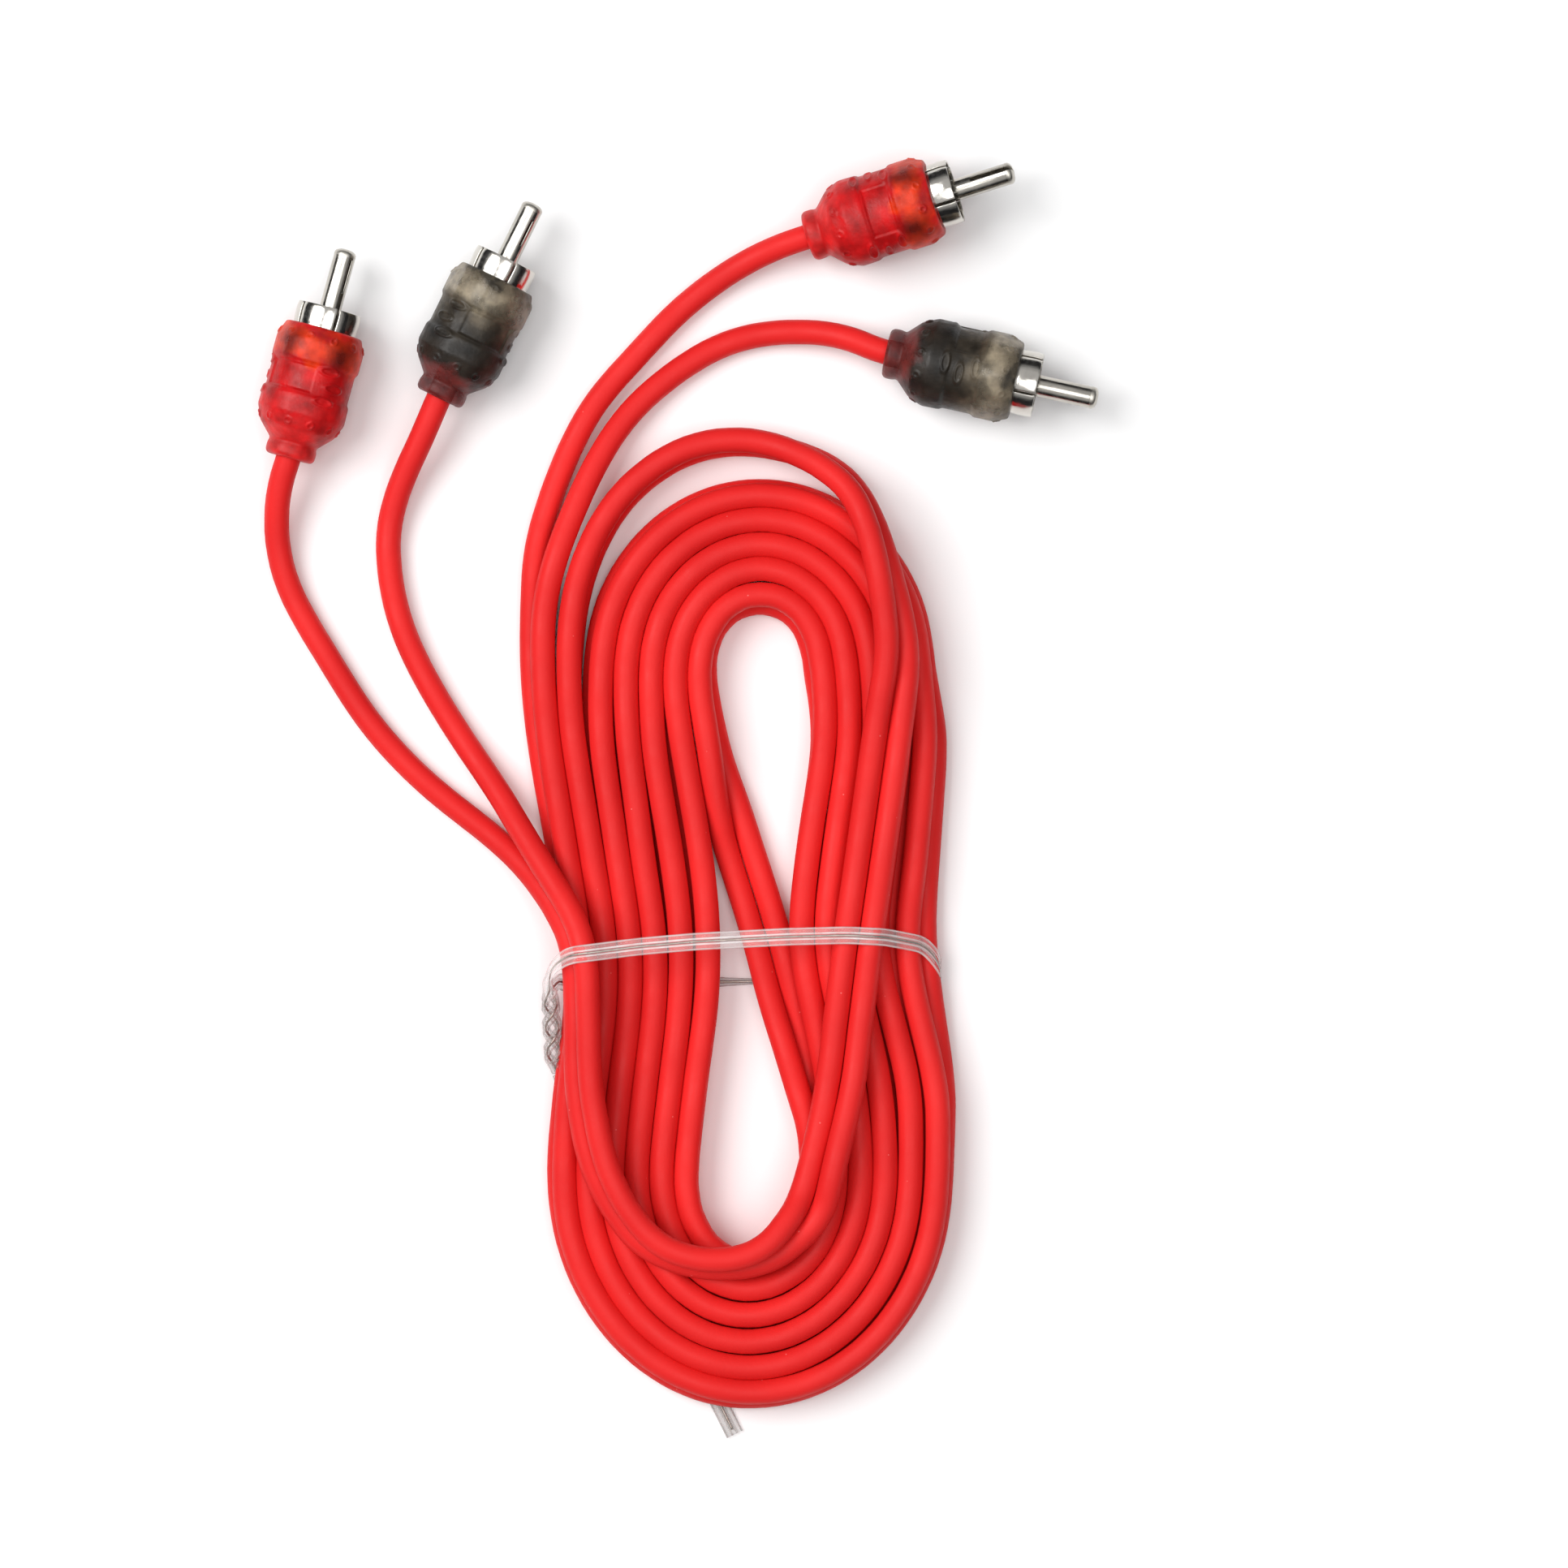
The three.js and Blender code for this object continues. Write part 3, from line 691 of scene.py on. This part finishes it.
def boot(name):
    outside = rounded(resampled(BOOT_OUTSIDE, GRAIN), CORNER_PASSES)
    outline = np.vstack([outside, BOOT_INSIDE])
    angle = np.arange(BOOT_COLUMNS) * 2 * math.pi / BOOT_COLUMNS
    along = np.repeat(outline[:, :1], BOOT_COLUMNS, axis=1)
    radius = np.repeat(outline[:, 1:], BOOT_COLUMNS, axis=1)
    skin = slice(PLAIN_ENDS, len(outside) - PLAIN_ENDS)
    radius[skin] += boot_relief(along[skin], angle[None], radius[skin], math.radians(PANEL_TURN[name]))
    verts = np.stack([radius * np.sin(angle), along, radius * np.cos(angle)], axis=-1).reshape(-1, 3)
    piece = mesh_object(f"{name}_boot_skin", verts, ring_faces(len(outline), BOOT_COLUMNS, True))
    kind = "red_boot" if name.endswith("red") else "smoke_boot"
    return place_piece(piece, (kind,), (f"{name}_boot",), PLUG[name])


# ------------------------------------------------------------------ shells and pins
SHELL_REAR = 14.3
SLOTS = {"count": 5, "from": 18.9, "width": 0.45, "phase": 0.3}
# the petals between the slots: how far they stand out, and how far their lips turn in again
PETALS = {"splay": 0.14, "splay_rate": 1.3, "lip": 0.10, "lip_from": 0.75, "rings": 9}
SHELL_COLUMNS = 16                # between two slots
EDGE_WIDTH = 0.07                 # of the rounding on cut edges
PIN_COLUMNS = 44
PIN_R = 1.6
PIN_WALL = 0.5
PIN_OUTLINE = [(10.8, PIN_R), (25.3, PIN_R), (30.6, PIN_R), (30.75, 1.63), (31.1, 1.6), (31.4, 1.36),
               (31.6, 0.95), (31.7, 0.3)]
PIN_TIP_FROM = 30.65
# each pin's slit: where it faces, its width, and where it ends
PIN_SLIT = {"left_red": (48, 0.4, 30.3), "left_smoke": (35, 0.35, 29.2), "right_red": (-30, 0.75, 31.7),
            "right_smoke": (118, 0.4, 30.3)}
SLIT_FROM = 25.3


def slotted_tube(name, outline, slots, cut_from, cut_to, wall, columns):
    """A turned sheet-metal tube with lengthwise slots: slots holds the angle and angular width of each."""
    angles = []
    cut = []
    for k, (turn, width) in enumerate(slots):
        following = slots[(k + 1) % len(slots)]
        start, end = turn + width / 2, following[0] - following[1] / 2
        end += 2 * math.pi * (end <= start)
        angles += list(np.linspace(start, end, columns + 1))
        cut += [False] * columns + [True]
    verts = [(r * math.sin(a), s, r * math.cos(a)) for s, r in outline for a in angles]
    count = len(angles)
    faces = []
    for ring in range(len(outline) - 1):
        middle = (outline[ring][0] + outline[ring + 1][0]) / 2
        for k in range(count):
            if not (cut[k] and cut_from < middle < cut_to):
                low, high = ring * count, (ring + 1) * count
                faces.append((low + k, low + (k + 1) % count, high + (k + 1) % count, high + k))
    piece = mesh_object(name, verts, faces)
    solid = piece.modifiers.new("wall", "SOLIDIFY")
    solid.thickness = wall * MM
    solid.offset = -1
    soft = piece.modifiers.new("edge", "BEVEL")
    soft.width = EDGE_WIDTH * MM
    soft.segments = 2
    soft.limit_method = "ANGLE"
    soft.angle_limit = math.radians(45)
    return piece


def shell(name):
    slots = [(2 * math.pi * (k + SLOTS["phase"]) / SLOTS["count"], SLOTS["width"] / SHELL_RADIUS)
             for k in range(SLOTS["count"])]
    outline = [(SHELL_REAR, SHELL_RADIUS), (SLOTS["from"], SHELL_RADIUS), (BOOT_LENGTH, SHELL_RADIUS)]
    for k in range(1, PETALS["rings"] + 1):
        t = k / PETALS["rings"]
        splay = PETALS["splay"] * math.sin(min(1, t * PETALS["splay_rate"]) * math.pi / 2)
        lip = PETALS["lip"] * max(0, t - PETALS["lip_from"]) / (1 - PETALS["lip_from"])
        outline.append((SLOTS["from"] + (SHELL_FRONT - SLOTS["from"]) * t, SHELL_RADIUS + splay - lip))
    piece = slotted_tube(f"{name}_shell", sorted(outline), slots, SLOTS["from"], SHELL_FRONT,
                         SHELL_WALL, SHELL_COLUMNS)
    return place_piece(piece, ("nickel",), (f"{name}_ground_shell",), PLUG[name])


def pin(name):
    turn, width, end = PIN_SLIT[name]
    outline = sorted(set(PIN_OUTLINE + [(end, np.interp(end, *zip(*PIN_OUTLINE)))]))
    piece = slotted_tube(f"{name}_pin", outline, [(math.radians(turn), width / PIN_R)], SLIT_FROM, end,
                         PIN_WALL, PIN_COLUMNS)
    place_piece(piece, ("pin", "pin_tip"), (f"{name}_center_pin",), PLUG[name])
    for face in piece.data.polygons:
        face.material_index = int(face.center.y > PIN_TIP_FROM * MM)
    return piece


# ------------------------------------------------------------------ the twist tie
RIBBON_WIDTH = 2.6
RIBBON_THICK = 0.55
RIBBON_CLEARANCE = 0.06           # between the ribbon and the cables
RIBBON_FLOOR = 0.05               # between the ribbon and the table
LEAST_HEIGHT = 0.02               # of any point of the tie
RIBS = 3
RIB_VALLEY = 0.62                 # thickness between the ribs, as a share of the full thickness
WIRE = {"across": 0.17, "through": 0.14, "sides": 10, "short_of_end": 2}
# where the upper and the lower run of the ribbon lie: [x, y]
TIE_FRONT = [
    (-19.6, -25.6), (-18.0, -23.8), (-14.4, -22.3), (-5.7, -21.2), (2.4, -20.5), (10.0, -20.1),
    (16.2, -19.8), (24.8, -19.6), (30.2, -19.9), (35.4, -21.0), (37.9, -22.4), (39.4, -24.6)]
TIE_BACK = [(-19.4, -27.0), (8.6, -26.8), (34.0, -26.4), (39.4, -26.0)]
BAND = 1.6                        # cables within this distance of the upper run are bound by it
RING_START = (-19, 2.2)           # [x, z] near which the ribbon's loop starts, low on the left
RING_STEP = 0.8
# the ribbon's last stretch, over the left edge of the hank and down to the knot; the loop ends above
# this height and this far to the right of it
LEFT_TOP = {"height": 8, "before": 2}
LEFT_BEND = [(-15.5, -22.5, 13.9), (-17.4, -23.6, 11.6), (-18.6, -25.1, 8.8), (-18.9, -26.7, 6.0)]
LEFT_BEND_FACES = [(-0.5, 0.1, 1.0), (-0.8, 0.3, 0.8), (-0.8, 0.3, 0.7), (-0.6, 0.1, 0.8)]
KNOT = {"start": (-18.9, -28.0, 3.6), "end": (-18.3, -39.0, 2.4), "turns": 1.5, "radius": 1.05,
        "steps": 46, "first_reach": 0.3, "reach_rate": 4}
KNOT_NARROW, KNOT_THICK = 0.65, 1.8     # the ribbon is squeezed together in the knot
TAIL = [(-17.3, -41.8, 0.8), (-15.5, -46.0, 0.36), (-8.0, -61.0, 0.36), (2.0, -81.0, 0.36),
        (8.3, -93.6, 0.45)]
LEFT_CURL, RIGHT_CURL = 9.0, 5.8        # heights below which the ribbon leans towards its lower run
# how much of its width the ribbon keeps at each x of its lower run; it is pinched under the eye
PINCH = ((1.0, 1.0), (4.5, 0.62), (8.0, 0.45), (12.0, 0.30), (16.0, 1.0))
PINCH_THICK = 0.9                 # how much thicker it gets for the width that it loses
LOWER_RUN_HEIGHT = 1.0            # below this the ribbon belongs to its lower run
GREY = {"from": 3.2, "over": 1.5}       # height below which the ribbon is painted grey, and over which drop; the painted grey stands for the dark outlines that clear vinyl shows over the pale table
TAIL_STEP = 1.5
SWEEP_STEP = 0.4


def hull(points):
    """Corners of the convex outline round 2-D points, anticlockwise."""
    points = sorted(map(tuple, points))
    found = []
    for run in (points, points[::-1]):
        side = []
        for p in run:
            while len(side) > 1 and ((side[-1][0] - side[-2][0]) * (p[1] - side[-2][1])
                                     - (side[-1][1] - side[-2][1]) * (p[0] - side[-2][0])) <= 0:
                side.pop()
            side.append(p)
        found += side[:-1]
    return found


def knot_strand(phase):
    """One end of the ribbon wound round the knot's axis: points and face directions from its start."""
    start, end = np.array(KNOT["start"]), np.array(KNOT["end"])
    axis = (end - start) / np.linalg.norm(end - start)
    out = np.array([0, 0, 1.0]) - axis[2] * axis
    out /= np.linalg.norm(out)
    aside = np.cross(axis, out)
    points, faces = [], []
    for t in np.linspace(0, 1, KNOT["steps"]):
        angle = phase + 2 * math.pi * KNOT["turns"] * t
        reach = KNOT["radius"] * min(1, KNOT["first_reach"] + KNOT["reach_rate"] * t)
        direction = out * math.cos(angle) + aside * math.sin(angle)
        points.append(start + (end - start) * t + direction * reach)
        faces.append(direction)
    return points, faces


def tie_loop():
    """Points and face directions of the ribbon round the hank, from low on the left back to the knot."""
    cables = np.vstack([cable_a, cable_b])
    front_y = np.interp(cables[:, 0], *zip(*TIE_FRONT))
    crossing = cables[np.abs(cables[:, 1] - front_y) < BAND]
    clear = CABLE_R + RIBBON_THICK / 2 + RIBBON_CLEARANCE
    turns = np.linspace(0, 2 * math.pi, 24, endpoint=False)
    around = [(x + clear * math.cos(t), max(z + clear * math.sin(t), RIBBON_THICK / 2 + RIBBON_FLOOR))
              for x, _, z in crossing for t in turns]
    corners = hull(around)
    # anticlockwise seen from the front: lower side left to right, up the right side, back over the top
    first = min(range(len(corners)), key=lambda k: math.dist(corners[k], RING_START))
    ring = resampled(corners[first:] + corners[:first + 1], RING_STEP)
    middle = ring[:, 0].mean()
    points, faces = [], []
    for k, (x, z) in enumerate(ring):
        if z > LEFT_TOP["height"] and x < LEFT_BEND[0][0] + LEFT_TOP["before"]:
            break
        lift = np.clip(z / (LEFT_CURL if x < middle else RIGHT_CURL), 0, 1)
        lift = lift * lift * (3 - 2 * lift)
        y = (1 - lift) * np.interp(x, *zip(*TIE_BACK)) + lift * np.interp(x, *zip(*TIE_FRONT))
        tangent = ring[min(k + 1, len(ring) - 1)] - ring[max(k - 1, 0)]
        points.append((x, y, z))
        faces.append((tangent[1], 0, -tangent[0]))
    bend = catmull_rom([points[-1]] + LEFT_BEND, RING_STEP)[1:]
    bend_faces = [[np.interp(y, *zip(*sorted((p[1], f[k]) for p, f in zip(LEFT_BEND, LEFT_BEND_FACES))))
                   for k in range(3)] for _, y, _ in bend]
    return points + list(bend), faces + bend_faces


def tie_path():
    """Points and face directions of the whole ribbon, and where in it the loop starts and ends."""
    one, one_faces = knot_strand(math.pi)
    loop, loop_faces = tie_loop()
    two, two_faces = knot_strand(0)
    tail = catmull_rom(TAIL, TAIL_STEP)
    points = one[::-1] + loop + two + list(tail)
    faces = one_faces[::-1] + loop_faces + two_faces + [(0, 0, 1)] * len(tail)
    return np.array(points, float), np.array(faces, float), len(one), len(one) + len(loop)


def sweep(name, points, facing, outline, wide, thick):
    """A mesh whose outline, given across and along the facing direction, follows the points."""
    tangent = np.gradient(points, axis=0)
    tangent /= np.linalg.norm(tangent, axis=1, keepdims=True)
    facing = facing - (facing * tangent).sum(axis=1, keepdims=True) * tangent
    facing /= np.linalg.norm(facing, axis=1, keepdims=True)
    across = np.cross(tangent, facing)
    verts = np.array([p + a * u * w + f * v * t
                      for p, a, f, w, t in zip(points, across, facing, wide, thick) for u, v in outline])
    verts[:, 2] = np.maximum(verts[:, 2], LEAST_HEIGHT)
    count = len(outline)
    faces = ring_faces(len(points), count, False)
    faces += [tuple(range(count))[::-1], tuple(range(len(verts) - count, len(verts)))]
    piece = mesh_object(name, verts, faces)
    bm = bmesh.new()
    bm.from_mesh(piece.data)
    bmesh.ops.recalc_face_normals(bm, faces=bm.faces)
    bm.to_mesh(piece.data)
    bm.free()
    return piece


def ribbon_outline():
    """The ribbon's cross-section: ribs side by side, thinning out at both edges."""
    found = []
    for side in (1, -1):
        for u in np.linspace(-1, 1, 19)[:-1]:
            rib = RIB_VALLEY + (1 - RIB_VALLEY) * abs(math.cos(RIBS / 2 * math.pi * u))
            taper = math.sqrt(max(0, 1 - abs(u) ** 5))
            found.append((side * u * RIBBON_WIDTH / 2, -side * rib * taper * RIBBON_THICK / 2))
    return found


def twist_tie():
    points, facing, loop_from, loop_to = tie_path()
    run = np.concatenate([[0], np.cumsum(np.linalg.norm(np.diff(points, axis=0), axis=1))])
    at = np.arange(0, run[-1], SWEEP_STEP)
    points = np.column_stack([np.interp(at, run, points[:, k]) for k in range(3)])
    facing /= np.linalg.norm(facing, axis=1, keepdims=True)
    facing = np.column_stack([np.interp(at, run, facing[:, k]) for k in range(3)])
    points, facing = rounded(points, 6), rounded(facing, 12)

    # 1 in the knot, 0 in the loop and in the tail, changing over a few millimetres
    tail_from = run[-1] - length_of(catmull_rom(TAIL, TAIL_STEP)) / MM
    bunched_and_painted_grey = np.interp(at, [run[loop_from] - 2, run[loop_from] + 1, run[loop_to] - 1, run[loop_to] + 2,
                             tail_from - 1, tail_from + 3], [1, 0, 0, 1, 1, 0])
    lower_run = (points[:, 2] < LOWER_RUN_HEIGHT) & (at > run[loop_from]) & (at < run[loop_to - 1])
    pinch = np.where(lower_run, np.interp(points[:, 0], *zip(*PINCH)), 1)
    wide = pinch * (1 + (KNOT_NARROW - 1) * bunched_and_painted_grey)
    thick = (1 + PINCH_THICK * (1 - pinch)) * (1 + (KNOT_THICK - 1) * bunched_and_painted_grey)
    outline = ribbon_outline()
    ribbon = sweep("twist_tie", points, facing, outline, wide, thick)
    # painted shade: the ribbon greys where it lies low on the table and in the knot, for the dark outlines
    # of clear vinyl there
    grey = np.clip((GREY["from"] - points[:, 2]) / GREY["over"] + 2 * bunched_and_painted_grey, 0, 1)
    for name, values in (("bunched_and_painted_grey", np.repeat(grey, len(outline))),
                         ("across", [2 * u / RIBBON_WIDTH for u, _ in outline] * len(points))):
        ribbon.data.attributes.new(name, "FLOAT", "POINT").data.foreach_set("value", values)
    place_piece(ribbon, ("tie",), ("twist_tie_ribbon",))

    wire_outline = [(WIRE["across"] * math.cos(angle), WIRE["through"] * math.sin(angle))
                    for angle in np.linspace(0, 2 * math.pi, WIRE["sides"], endpoint=False)]
    inner = slice(WIRE["short_of_end"], -WIRE["short_of_end"])
    even = np.ones(len(points[inner]))
    wire = sweep("twist_tie_core", points[inner], facing[inner], wire_outline, even, even)
    place_piece(wire, ("tie_wire",), ("twist_tie_wire",))


# ------------------------------------------------------------------ all the pieces
piece_a = place_piece(cable_object("cable_a", cable_a), ("jacket",),
                      ("left_red_lead", "right_red_lead", "cable_hank"))
piece_b = place_piece(cable_object("cable_b", cable_b), ("jacket",),
                      ("left_smoke_lead", "right_smoke_lead", "cable_hank"))
plug_pieces = {name: [boot(name), shell(name), pin(name)] for name in PLUG_NAMES}
twist_tie()

CAD_LOOKS = {"insulator": "polyethylene", "core_insulation": "polyethylene", "inner_mold": "inner_mold",
             "core_conductor": "copper", "shield_pigtail": "copper"}
for plug in PLUG_NAMES:
    for part, look in CAD_LOOKS.items():
        node = bpy.data.objects[f"{plug}_{part}"]
        for slot in node.material_slots:
            slot.material = LOOKS[look]

# ------------------------------------------------------------------ table and light (metres)
TABLE_HALF = 1.0
table = bpy.data.meshes.new("table_top")
table.from_pydata([(x * TABLE_HALF, y * TABLE_HALF, 0) for x, y in ((-1, -1), (1, -1), (1, 1), (-1, 1))],
                  [], [(0, 1, 2, 3)])
table_piece = bpy.data.objects.new("table_top", table)
bpy.context.collection.objects.link(table_piece)
table.materials.append(LOOKS["floor"])


def lamp(name, place, size, power):
    """A round soft lamp that looks at the middle of the table."""
    data = bpy.data.lights.new(name, "AREA")
    data.shape = "DISK"
    data.size = size
    data.energy = power
    piece = bpy.data.objects.new(name, data)
    piece.location = place
    piece.rotation_euler = (-Vector(place)).to_track_quat("-Z", "Y").to_euler()
    bpy.context.collection.objects.link(piece)


lamp("lamp_key", (-0.70, 0.25, 1.0), 0.9, 12)
lamp("lamp_fill", (0.15, -0.10, 1.2), 0.8, 4.2)

DIM_BELOW, BRIGHT_ABOVE = 0.4, 0.74     # heights of the sky between which it brightens, from 0 to 1
SKY_STRENGTH = 0.58
world = bpy.data.worlds.new("world")
bpy.context.scene.world = world
world.use_nodes = True
nodes, links = world.node_tree.nodes, world.node_tree.links
direction = nodes.new("ShaderNodeSeparateXYZ")
links.new(nodes.new("ShaderNodeTexCoord").outputs["Generated"], direction.inputs[0])
sky = nodes.new("ShaderNodeValToRGB")
links.new(direction.outputs["Z"], sky.inputs["Fac"])
for element, height, color in zip(sky.color_ramp.elements, (DIM_BELOW, BRIGHT_ABOVE),
                                  ((0.03, 0.03, 0.033, 1), (1, 1, 1, 1))):
    element.position = height
    element.color = color
# the paper behind the object is pale, though little light comes from low down
paper = nodes.new("ShaderNodeMix")
paper.data_type = "RGBA"
paper.inputs[7].default_value = (1.7, 1.7, 1.7, 1)
links.new(nodes.new("ShaderNodeLightPath").outputs["Is Camera Ray"], paper.inputs[0])
links.new(sky.outputs["Color"], paper.inputs[6])
links.new(paper.outputs[2], nodes["Background"].inputs["Color"])
nodes["Background"].inputs["Strength"].default_value = SKY_STRENGTH
bpy.context.scene.view_settings.view_transform = "Standard"
